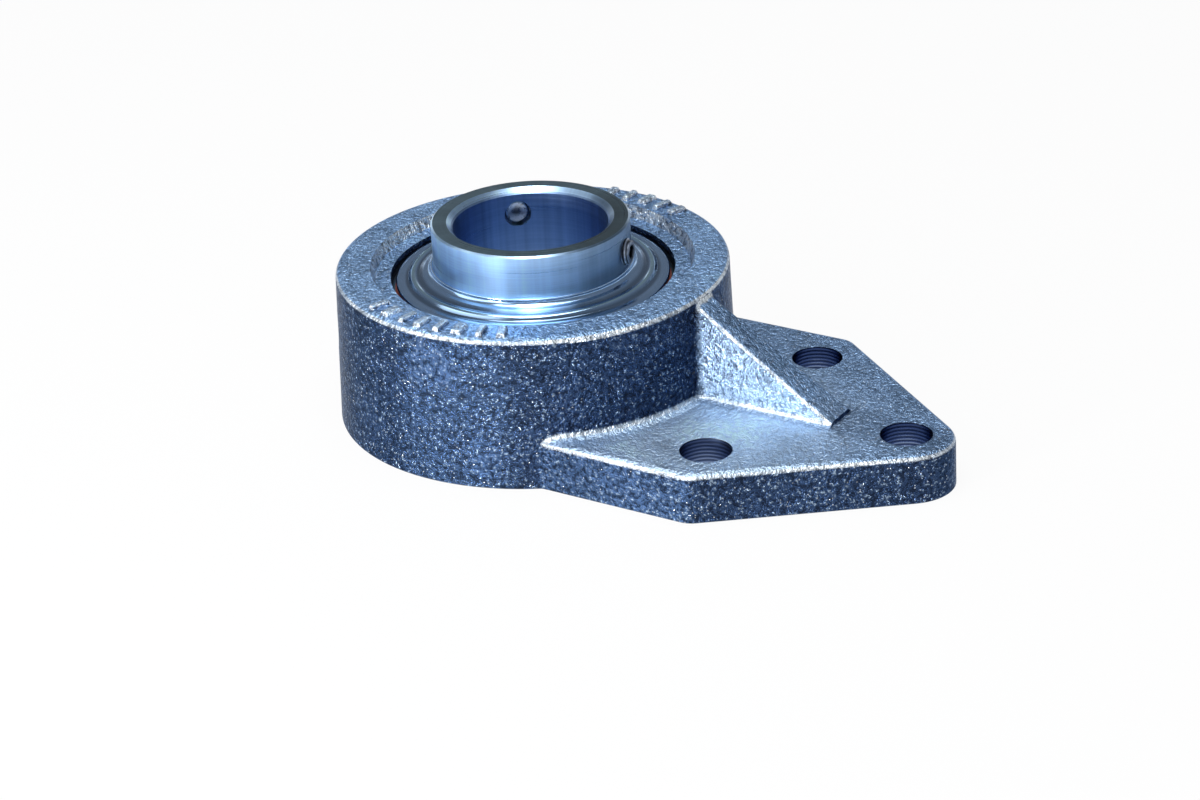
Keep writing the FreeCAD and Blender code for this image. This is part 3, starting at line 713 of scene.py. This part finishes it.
class Bench:
    """Where new pieces are modelled with Blender's own operators."""

    @staticmethod
    def clear() -> None:
        """Leave edit mode and deselect everything."""
        if bpy.context.mode != "OBJECT":
            bpy.ops.object.mode_set(mode="OBJECT")
        bpy.ops.object.select_all(action="DESELECT")

    @staticmethod
    def take(piece: bpy.types.Object) -> None:
        """Select one piece alone and make it active."""
        Bench.clear()
        piece.select_set(True)
        bpy.context.view_layer.objects.active = piece

    @staticmethod
    def edit(piece: bpy.types.Object, mode: str) -> None:
        """Open a piece in edit mode with nothing selected.

        Args:
            piece: the object to edit.
            mode: VERT, EDGE or FACE.
        """
        Bench.take(piece)
        bpy.ops.object.mode_set(mode="EDIT")
        bpy.ops.mesh.select_mode(type=mode)
        bpy.ops.mesh.select_all(action="DESELECT")

    @staticmethod
    def pick_faces(piece: bpy.types.Object, test: Callable[[Vector, Vector], bool]) -> None:
        """Open a piece with the faces selected whose centre and normal pass a test."""
        Bench.edit(piece, "FACE")
        bpy.ops.object.mode_set(mode="OBJECT")
        for face in piece.data.polygons:
            face.select = test(face.center, face.normal)
        bpy.ops.object.mode_set(mode="EDIT")

    @staticmethod
    def close(piece: bpy.types.Object, angle: float = 40.0) -> bpy.types.Object:
        """Merge doubles, turn the faces outwards and shade a piece.

        Args:
            piece: the object to close.
            angle: the least angle of a sharp edge, in degrees.

        Returns:
            The same object.
        """
        Bench.edit(piece, "VERT")
        bpy.ops.mesh.select_all(action="SELECT")
        bpy.ops.mesh.remove_doubles(threshold=MERGE_DISTANCE)
        bpy.ops.mesh.normals_make_consistent(inside=False)
        bpy.ops.object.mode_set(mode="OBJECT")
        bpy.ops.object.shade_smooth_by_angle(angle=math.radians(angle))
        return piece

    @staticmethod
    def settle(piece: bpy.types.Object) -> None:
        """Put a piece's place into its mesh, so that its object sits at the origin."""
        Bench.take(piece)
        bpy.ops.object.transform_apply(location=True, rotation=True, scale=True)

    @staticmethod
    def apply(piece: bpy.types.Object, kind: str, **settings: object) -> None:
        """Add a modifier to a piece and apply it."""
        Bench.take(piece)
        modifier = piece.modifiers.new(kind.lower(), kind)
        for name, value in settings.items():
            setattr(modifier, name, value)
        bpy.ops.object.modifier_apply(modifier=modifier.name)

    @staticmethod
    def lathe(name: str, outline: list[Point], segments: int) -> bpy.types.Object:
        """Draw a ring up through a closed outline, one extrusion to a corner.

        Args:
            name: the piece's name.
            outline: closed outline of (radius, height) corners, in metres.
            segments: vertices round the axis.

        Returns:
            The closed ring, centred on the Z axis.
        """
        Bench.clear()
        radius, height = outline[0]
        bpy.ops.mesh.primitive_circle_add(vertices=segments, radius=radius, location=(0, 0, height))
        piece = bpy.context.object
        piece.name = piece.data.name = name
        Bench.settle(piece)
        Bench.edit(piece, "EDGE")
        bpy.ops.mesh.select_all(action="SELECT")
        for wide, high in [*outline[1:], outline[0]]:
            bpy.ops.mesh.extrude_edges_move(TRANSFORM_OT_translate={"value": (0, 0, high - height)})
            scale = wide / radius
            bpy.ops.transform.resize(value=(scale, scale, 1), center_override=(0, 0, high))
            radius, height = wide, high
        return Bench.close(piece)

    @staticmethod
    def dress(piece: bpy.types.Object, finish: Finish, body: str, slot: Slot) -> None:
        """Give a new piece its finish and its body."""
        piece.data.materials.clear()
        piece.data.materials.append(finish.material())
        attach(piece, body)
        LOG.info("%s rides on %s with %s", piece.name, body, finish.name)

    @staticmethod
    def paint_node(node: str, finish: Finish, slot: Slot) -> None:
        """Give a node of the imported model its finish."""
        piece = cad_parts[node]
        if not piece.material_slots:
            piece.data.materials.append(None)
        for holder in piece.material_slots:
            holder.material = finish.material()
        LOG.info("%s has %s", node, finish.name)


def rounded(outline: list[Point], radius: float, steps: int = 4) -> list[Point]:
    """Round every corner of a closed outline.

    Args:
        outline: corners of (radius, height), in metres.
        radius: the radius of the corners, less where a side is short.
        steps: straight stretches to a corner.

    Returns:
        The outline with its corners rounded.
    """
    made = []
    for index, here in enumerate(outline):
        corner = Vector(here)
        back = Vector(outline[index - 1]) - corner
        ahead = Vector(outline[(index + 1) % len(outline)]) - corner
        half = back.angle(ahead) / 2
        run = min(radius / math.tan(half), 0.45 * back.length, 0.45 * ahead.length)
        start, end = corner + back.normalized() * run, corner + ahead.normalized() * run
        for step in range(steps + 1):
            share = step / steps
            point = start * (1 - share) ** 2 + corner * 2 * share * (1 - share) + end * share ** 2
            made.append((point.x, point.y))
    return made


# The unit's pieces


@dataclass
class Housing:
    """The casting, with its generic raised foundry marks on the rim."""

    rim_height: float = 17.7 * MM
    mark_height: float = 1.3 * MM
    mark_sink: float = 0.4 * MM
    mark_round: float = 0.35 * MM
    mark_taper: Point = (0.82, 0.70)
    front_marks: tuple[Row, ...] = (
        (-113.0, 52.2, 6.8, 2.4),
        (-106.5, 52.5, 6.2, 3.6),
        (-99.5, 52.1, 7.0, 2.4),
        (-93.5, 52.4, 6.4, 3.0),
        (-87.0, 52.1, 7.0, 2.4),
        (-80.5, 52.4, 6.2, 3.6),
        (-73.5, 52.1, 7.0, 2.4),
        (-67.0, 52.4, 6.4, 3.0),
    )
    back_marks: tuple[Row, ...] = (
        (66.5, 52.0, 6.4, 3.0),
        (73.5, 51.8, 7.0, 2.4),
        (80.5, 52.0, 6.4, 3.6),
        (87.5, 51.8, 7.0, 2.4),
        (94.5, 52.0, 6.4, 3.0),
    )

    def mark(self, azimuth: float, reach: float, length: float, width: float) -> bpy.types.Object:
        """Model one raised bar on the rim.

        Args:
            azimuth: its angle from the bracket's axis, in degrees.
            reach: its distance from the shaft's axis, in millimetres.
            length: its length along the radius, in millimetres.
            width: its width, in millimetres.

        Returns:
            The bar, in place.
        """
        Bench.clear()
        tall = self.mark_height + self.mark_sink
        middle = self.rim_height + self.mark_height - tall / 2
        bpy.ops.mesh.primitive_cube_add(size=1, location=(reach * MM, 0, middle))
        bar = bpy.context.object
        bar.scale = (length * MM, width * MM, tall)
        Bench.settle(bar)
        top = self.rim_height + self.mark_height
        Bench.pick_faces(bar, lambda centre, normal: normal.z > 0.5)
        taper = (*self.mark_taper, 1)
        bpy.ops.transform.resize(value=taper, center_override=(reach * MM, 0, top))
        bpy.ops.object.mode_set(mode="OBJECT")
        Bench.apply(bar, "BEVEL", width=self.mark_round, segments=3, limit_method="ANGLE")
        Bench.apply(bar, "SUBSURF", levels=1, render_levels=1)
        bar.rotation_euler = (0, 0, math.radians(azimuth))
        Bench.settle(bar)
        return bar

    def marks(self, name: str, rows: Iterable[Row]) -> None:
        """Model one group of bars as one piece."""
        bars = [self.mark(*row) for row in rows]
        Bench.clear()
        for bar in bars:
            bar.select_set(True)
        bpy.context.view_layer.objects.active = bars[0]
        bpy.ops.object.join()
        group = bars[0]
        group.name = group.data.name = name
        Bench.close(group, 50.0)
        Bench.dress(group, PAINTED_LIT_MARKS, "housing", Slot.CASTING)

    def build(self) -> None:
        """Dress the casting and add its marks."""
        Bench.paint_node("housing", CASTING, Slot.CASTING)
        self.marks("foundry_marks_front", self.front_marks)
        self.marks("foundry_marks_back", self.back_marks)


@dataclass
class Flinger:
    """One pressed flinger: sleeve, dished disc, ridge, outer flat and turned rim."""

    node: str
    side: int
    bore: float = 28.77
    thickness: float = 0.8
    bend: float = 0.9 * MM
    bend_steps: int = 3
    segments: int = 192

    def outline(self) -> list[Point]:
        """The closed section of the sheet, outer face first, in metres.

        The corners and the bore are in millimetres. The sheet is thickest under the ridge.
        """
        sleeve = self.bore + self.thickness
        upper = [
            (sleeve, 17.6),
            (sleeve, 16.5),
            (30.35, 15.75),
            (31.6, 15.45),
            (33.1, 14.75),
            (33.9, 14.8),
            (34.7, 15.15),
            (35.4, 14.8),
            (36.1, 13.75),
            (37.0, 13.55),
            (38.6, 13.6),
            (39.45, 13.45),
            (39.8, 13.0),
            (39.8, 12.7),
        ]
        lower = [
            (39.1, 12.7),
            (38.7, 12.8),
            (37.0, 12.75),
            (35.4, 13.1),
            (34.6, 13.58),
            (33.1, 13.78),
            (31.4, 14.43),
            (30.0, 14.5),
            (self.bore, 15.1),
            (self.bore, 17.6),
        ]
        return [(reach * MM, height * MM) for reach, height in upper + lower]

    def build(self) -> None:
        """Model the flinger in place of its node."""
        points = rounded(self.outline(), self.bend, self.bend_steps)
        piece = Bench.lathe(f"pressed_{self.node}", points, self.segments)
        if self.side < 0:
            piece.rotation_euler = (math.pi, 0, 0)
            Bench.settle(piece)
        Bench.dress(piece, FLINGER_SHEET, "inner_ring", Slot.FLINGER)
        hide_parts(self.node)


@dataclass
class OuterRing:
    """The outer ring: spherical outside, a raceway, and a seat for each seal."""

    sphere: float = 42.5 * MM
    half_width: float = 11.0 * MM
    edge: float = 0.5 * MM
    seal_seat: float = 40.12 * MM
    seal_floor: float = 7.98 * MM
    shoulder: float = 36.4 * MM
    race_centre: float = 32.27 * MM
    race_radius: float = 6.6 * MM
    steps: int = 32
    segments: int = 360

    def arc(self, centre: float, radius: float, half: float) -> list[Point]:
        """An arc across the middle plane, from below upwards.

        Args:
            centre: the distance of its centre from the axis.
            radius: its radius.
            half: the height of its ends over and under the middle plane.

        Returns:
            Points on the arc, as (radius, height).
        """
        end = math.asin(half / radius)
        turns = [end * (2 * step / self.steps - 1) for step in range(self.steps + 1)]
        return [(centre + radius * math.cos(turn), radius * math.sin(turn)) for turn in turns]

    def outline(self) -> list[Point]:
        """The closed section of the ring."""
        top, floor = self.half_width, self.seal_floor
        rim = top - self.edge
        face = math.sqrt(self.sphere ** 2 - rim ** 2) - self.edge
        race_half = math.sqrt(self.race_radius ** 2 - (self.shoulder - self.race_centre) ** 2)
        outside = self.arc(0.0, self.sphere, rim)
        raceway = self.arc(self.race_centre, self.race_radius, race_half)
        return [
            (self.seal_seat, -top),
            (face, -top),
            *outside,
            (face, top),
            (self.seal_seat, top),
            (self.seal_seat, floor),
            (self.shoulder, floor),
            *reversed(raceway),
            (self.shoulder, -floor),
            (self.seal_seat, -floor),
        ]

    def build(self) -> None:
        """Model the ring in place of its node, with a raceway fine enough for the balls' play."""
        piece = Bench.lathe("turned_outer_ring", self.outline(), self.segments)
        Bench.dress(piece, RACE_STEEL, "outer_ring", Slot.RING)
        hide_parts("outer_ring")


@dataclass
class SetScrew:
    """A threaded cup-point set screw with a hexagon socket, in the collar."""

    node: str
    azimuth: float
    tip_reach: float = 24.0 * MM
    height: float = 22.4 * MM
    length: float = 6.4 * MM
    crest: float = 3.86 * MM
    root: float = 3.25 * MM
    pitch: float = 1.2 * MM
    flank: float = 0.48
    thread_sink: float = 0.1 * MM
    socket_across: float = 4.0 * MM
    socket_depth: float = 3.0 * MM
    chamfer: float = 0.3 * MM
    cup: float = 1.0 * MM
    cup_rim: float = 0.8 * MM
    cup_floor: float = 0.35
    point_taper: float = 0.90
    lead: float = 0.3 * MM
    turns: int = 4
    segments: int = 48

    def core(self) -> bpy.types.Object:
        """Model the shank with its cup point below and its socket on top."""
        Bench.clear()
        bpy.ops.mesh.primitive_cylinder_add(
            vertices=self.segments,
            radius=self.root,
            depth=self.length - self.lead,
            location=(0, 0, (self.length + self.lead) / 2),
        )
        shank = bpy.context.object
        Bench.settle(shank)
        Bench.pick_faces(shank, lambda centre, normal: normal.z < -0.5)
        bpy.ops.mesh.extrude_region_move(TRANSFORM_OT_translate={"value": (0, 0, -self.lead)})
        taper = (self.point_taper, self.point_taper, 1)
        bpy.ops.transform.resize(value=taper, center_override=(0, 0, 0))
        bpy.ops.mesh.inset(thickness=self.cup_rim)
        bpy.ops.transform.translate(value=(0, 0, self.cup))
        floor = (self.cup_floor, self.cup_floor, 1)
        bpy.ops.transform.resize(value=floor, center_override=(0, 0, self.cup))
        Bench.pick_faces(shank, lambda centre, normal: normal.z > 0.9 and centre.z > self.length / 2)
        bpy.ops.mesh.bevel(offset=self.chamfer, segments=3, affect="EDGES")
        bpy.ops.object.mode_set(mode="OBJECT")
        Bench.clear()
        bpy.ops.mesh.primitive_cylinder_add(
            vertices=6,
            radius=self.socket_across / math.sqrt(3),
            depth=2 * self.socket_depth,
            location=(0, 0, self.length),
        )
        cutter = bpy.context.object
        Bench.settle(cutter)
        Bench.apply(shank, "BOOLEAN", object=cutter, operation="DIFFERENCE", solver="EXACT")
        bpy.data.objects.remove(cutter)
        return shank

    def thread(self) -> bpy.types.Object:
        """Wind the thread's three-cornered section up the shank."""
        Bench.clear()
        reach = (self.crest + self.root) / 2
        start = self.lead + self.pitch / 2
        bpy.ops.mesh.primitive_circle_add(
            vertices=3,
            radius=self.pitch / 2,
            location=(reach, 0, start),
            rotation=(math.pi / 2, 0, -math.pi / 2),
        )
        coil = bpy.context.object
        Bench.settle(coil)
        sunk, half = self.root - self.thread_sink, self.flank * self.pitch
        corners = ((sunk, -half), (self.crest, 0.0), (sunk, half))
        for vertex, (wide, high) in zip(coil.data.vertices, corners):
            vertex.co = (wide, 0, start + high)
        Bench.apply(
            coil,
            "SCREW",
            axis="Z",
            angle=FULL_TURN,
            screw_offset=self.pitch,
            steps=self.segments,
            render_steps=self.segments,
            iterations=self.turns,
            use_merge_vertices=False,
        )
        Bench.edit(coil, "EDGE")
        bpy.ops.mesh.select_non_manifold(extend=False)
        bpy.ops.mesh.fill_holes(sides=3)
        bpy.ops.object.mode_set(mode="OBJECT")
        return coil

    def build(self) -> None:
        """Model the screw in place of its node."""
        core, coil = self.core(), self.thread()
        Bench.close(coil, 30.0)
        Bench.close(core, 30.0)
        Bench.clear()
        core.select_set(True)
        coil.select_set(True)
        bpy.context.view_layer.objects.active = core
        bpy.ops.object.join()
        core.name = core.data.name = f"threaded_{self.node}"
        turn = Matrix.Rotation(math.radians(self.azimuth), 4, "Z")
        lay = Matrix.Rotation(math.pi / 2, 4, "Y")
        core.matrix_world = turn @ Matrix.Translation((self.tip_reach, 0, self.height)) @ lay
        Bench.settle(core)
        oxide = BlackOxide(f"black_oxide_{self.node}", self.azimuth, self.height, self.tip_reach)
        Bench.dress(core, oxide, self.node, Slot.SCREW)
        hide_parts(self.node)


@dataclass
class Insert:
    """The insert bearing: rings, balls, cage, seals, flingers and set screws."""

    balls: int = 9
    first_screw: float = 12.5
    screw_step: float = 120.0

    def build(self) -> None:
        """Dress the insert's nodes and model its finer pieces."""
        Bench.paint_node("inner_ring", COLLAR_STEEL, Slot.RING)
        OuterRing().build()
        for number in range(1, self.balls + 1):
            Bench.paint_node(f"ball_{number}", BALLS, Slot.BALL)
        for node in ("cage_upper", "cage_lower", "cage_rivets"):
            Bench.paint_node(node, CAGE_SHEET, Slot.CAGE)
        for node in ("seal_upper", "seal_lower"):
            Bench.paint_node(node, RUBBER, Slot.SEAL)
        Flinger("flinger_upper", 1).build()
        Flinger("flinger_lower", -1).build()
        SetScrew("set_screw_1", self.first_screw).build()
        SetScrew("set_screw_2", self.first_screw + self.screw_step).build()


# Studio


def direction(azimuth: float, elevation: float) -> Vector:
    """The unit vector at an azimuth from -Y and an elevation, both in degrees."""
    around, up = math.radians(azimuth), math.radians(elevation)
    flat = math.cos(up)
    return Vector((math.sin(around) * flat, -math.cos(around) * flat, math.sin(up)))


@dataclass
class Camera:
    """The photograph's viewpoint."""

    place: tuple[float, float, float] = (460.57 * MM, -697.54 * MM, 377.39 * MM)
    azimuth: float = 32.2252
    elevation: float = 25.9413
    roll: float = -2.6485
    lens: float = 94.21
    sensor: float = 36.0
    reach: Span = (0.01, 50.0)

    def build(self) -> None:
        """Set the camera up."""
        back = direction(self.azimuth, self.elevation)
        roll = math.radians(self.roll)
        right = (-back).cross(Vector((0, 0, 1))).normalized()
        above = right.cross(-back)
        across = math.cos(roll) * right + math.sin(roll) * above
        upright = -math.sin(roll) * right + math.cos(roll) * above
        data = bpy.data.cameras.new("camera")
        data.sensor_width = self.sensor
        data.lens = self.lens
        data.clip_start, data.clip_end = self.reach
        camera = bpy.data.objects.new("camera", data)
        bpy.context.scene.collection.objects.link(camera)
        turn = Matrix((across, upright, back)).transposed().to_4x4()
        camera.matrix_world = Matrix.Translation(self.place) @ turn
        bpy.context.scene.camera = camera


@dataclass
class Lamp:
    """One soft lamp that faces the unit."""

    name: str
    azimuth: float
    elevation: float
    distance: float
    size: tuple[float, float]
    power: float
    aim: tuple[float, float, float] = (0.03, 0.0, 0.0)

    def build(self) -> None:
        """Hang the lamp."""
        back = direction(self.azimuth, self.elevation)
        data = bpy.data.lights.new(self.name, "AREA")
        data.shape = "RECTANGLE"
        data.size, data.size_y = self.size
        data.energy = self.power
        lamp = bpy.data.objects.new(self.name, data)
        bpy.context.scene.collection.objects.link(lamp)
        lamp.rotation_mode = "QUATERNION"
        lamp.location = Vector(self.aim) + back * self.distance
        lamp.rotation_quaternion = back.to_track_quat("Z", "Y")


@dataclass
class Studio:
    """Pale floor, soft lamps and the surroundings."""

    floor_height: float = -27.35 * MM
    floor_size: float = 12.0
    floor_colour: Colour = (0.86, 0.86, 0.86)
    surround: Colour = (0.16, 0.17, 0.19)
    backdrop: Colour = (1.0, 1.0, 1.0)
    lift: float = 0.92
    backdrop_fade: Span = (0.20, 0.12)
    lamps: tuple[Lamp, ...] = (
        Lamp("window", -32.0, 28.0, 1.1, (1.30, 0.80), 5.2),
        Lamp("low_front", -10.0, 5.0, 0.8, (0.16, 0.12), 4.4),
        Lamp("overhead", 10.0, 84.0, 1.3, (1.0, 0.9), 9.4),
        Lamp("edge_light", 22.0, 64.0, 1.2, (0.34, 0.26), 3.0),
    )

    def seen(self, sheet: Sheet) -> Signal:
        """One where the camera looks at it, also by way of metal or glass."""
        path = sheet.node("ShaderNodeLightPath")
        seen = sheet.signal(path, "Is Camera Ray") + sheet.signal(path, "Is Glossy Ray")
        return seen + sheet.signal(path, "Is Transmission Ray")

    def floor(self) -> None:
        """Lay the floor."""
        Bench.clear()
        bpy.ops.mesh.primitive_plane_add(size=self.floor_size, location=(0, 0, self.floor_height))
        floor = bpy.context.object
        floor.name = "floor"
        material = bpy.data.materials.new("pale_floor")
        material.use_nodes = True
        sheet = Sheet(material.node_tree)
        sockets = {"Base Color": self.floor_colour, "Roughness": 0.9, "Specular IOR Level": 0.1}
        shader = sheet.node("ShaderNodeBsdfPrincipled", None, sockets)
        pale = sheet.node("ShaderNodeEmission", None, {"Color": self.backdrop, "Strength": 1.0})
        mix = {0: self.seen(sheet) * self.lift, 1: sheet.signal(shader), 2: sheet.signal(pale)}
        both = sheet.node("ShaderNodeMixShader", None, mix)
        sheet.node("ShaderNodeOutputMaterial", None, {"Surface": sheet.signal(both)})
        floor.data.materials.append(material)

    def world(self) -> None:
        """Set even surroundings, with a pale backdrop low down that is only looked at."""
        world = bpy.data.worlds.new("surroundings")
        world.use_nodes = True
        sheet = Sheet(world.node_tree)
        height = sheet.axes(sheet.signal(sheet.node("ShaderNodeTexCoord"), "Generated"))[2]
        low = self.seen(sheet) * height.ramp(*self.backdrop_fade)
        colour = sheet.colour(low, self.surround, self.backdrop)
        light = sheet.node("ShaderNodeBackground", None, {"Color": colour, "Strength": 1.0})
        sheet.node("ShaderNodeOutputWorld", None, {"Surface": sheet.signal(light)})
        bpy.context.scene.world = world

    def build(self) -> None:
        """Set up the studio."""
        bpy.context.scene.view_settings.view_transform = "Standard"
        self.floor()
        self.world()
        for lamp in self.lamps:
            lamp.build()


def main() -> None:
    """Build the camera, the studio and the unit."""
    logging.basicConfig(level=logging.INFO, format="%(name)s: %(message)s")
    Camera().build()
    Studio().build()
    Housing().build()
    Insert().build()


if __name__ == "__main__":
    main()
